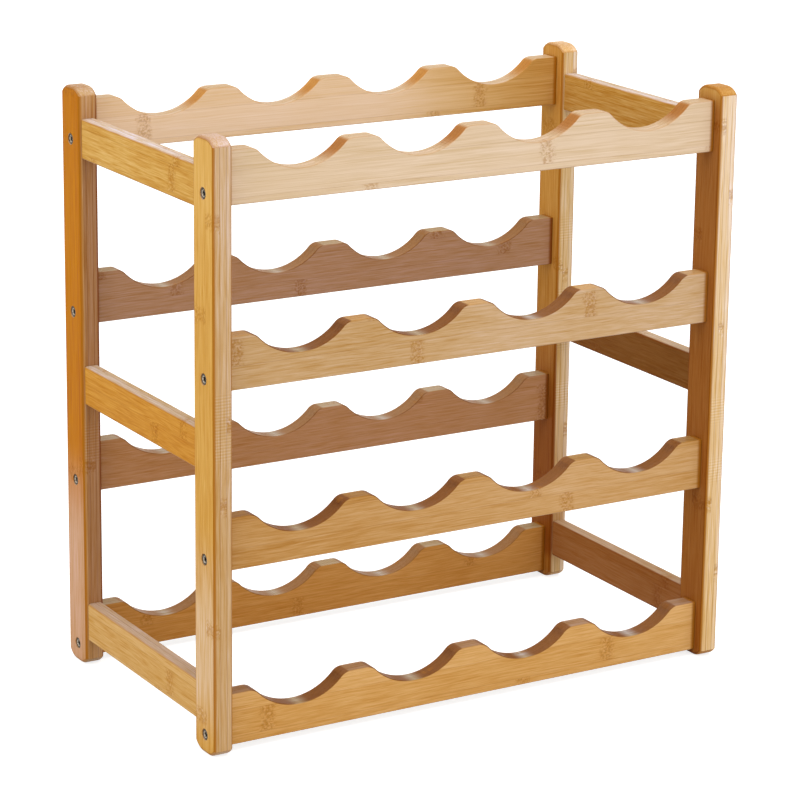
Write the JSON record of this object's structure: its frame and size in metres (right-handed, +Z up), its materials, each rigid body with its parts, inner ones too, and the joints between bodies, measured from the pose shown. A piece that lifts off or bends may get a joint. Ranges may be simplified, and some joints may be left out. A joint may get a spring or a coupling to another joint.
{
  "type": "wine rack",
  "caption": "Free-standing bamboo wine rack whose scalloped rails, joined to four arched posts, carry bottles lying flat in stacked tiers.",
  "frame": {"origin": "on the floor, at the middle of the rack's footprint", "axes": "+X to the right along the width, -Y towards the front, +Z up"},
  "size_m": [0.4314, 0.24, 0.441],
  "materials": {
    "bamboo_amber": "lacquered laminated bamboo, amber, semi-gloss",
    "bamboo_pale": "lacquered laminated bamboo, pale, semi-gloss",
    "bamboo_honey": "lacquered laminated bamboo, honey, semi-gloss",
    "dowel_wood": "bare turned hardwood",
    "screw_steel": "nickel-plated steel"
  },
  "bodies": {
    "root": {"post_front_left": "bamboo_amber", "post_front_right": "bamboo_amber", "post_back_left": "bamboo_amber", "post_back_right": "bamboo_amber", "bottle_rail_front_1": "bamboo_pale", "bottle_rail_front_2": "bamboo_pale", "bottle_rail_front_3": "bamboo_pale", "bottle_rail_front_4": "bamboo_pale", "bottle_rail_back_1": "bamboo_pale", "bottle_rail_back_2": "bamboo_pale", "bottle_rail_back_3": "bamboo_pale", "bottle_rail_back_4": "bamboo_pale", "side_rail_left_bottom": "bamboo_honey", "side_rail_left_middle": "bamboo_honey", "side_rail_left_top": "bamboo_honey", "side_rail_right_bottom": "bamboo_honey", "side_rail_right_middle": "bamboo_honey", "side_rail_right_top": "bamboo_honey", "screw_front_left_1": "screw_steel", "dowel_front_left_1": "dowel_wood", "screw_front_left_2": "screw_steel", "dowel_front_left_2": "dowel_wood", "screw_front_left_3": "screw_steel", "dowel_front_left_3": "dowel_wood", "screw_front_left_4": "screw_steel", "dowel_front_left_4": "dowel_wood", "screw_front_right_1": "screw_steel", "dowel_front_right_1": "dowel_wood", "screw_front_right_2": "screw_steel", "dowel_front_right_2": "dowel_wood", "screw_front_right_3": "screw_steel", "dowel_front_right_3": "dowel_wood", "screw_front_right_4": "screw_steel", "dowel_front_right_4": "dowel_wood", "screw_back_left_1": "screw_steel", "dowel_back_left_1": "dowel_wood", "screw_back_left_2": "screw_steel", "dowel_back_left_2": "dowel_wood", "screw_back_left_3": "screw_steel", "dowel_back_left_3": "dowel_wood", "screw_back_left_4": "screw_steel", "dowel_back_left_4": "dowel_wood", "screw_back_right_1": "screw_steel", "dowel_back_right_1": "dowel_wood", "screw_back_right_2": "screw_steel", "dowel_back_right_2": "dowel_wood", "screw_back_right_3": "screw_steel", "dowel_back_right_3": "dowel_wood", "screw_back_right_4": "screw_steel", "dowel_back_right_4": "dowel_wood"}
  },
  "joints": []
}
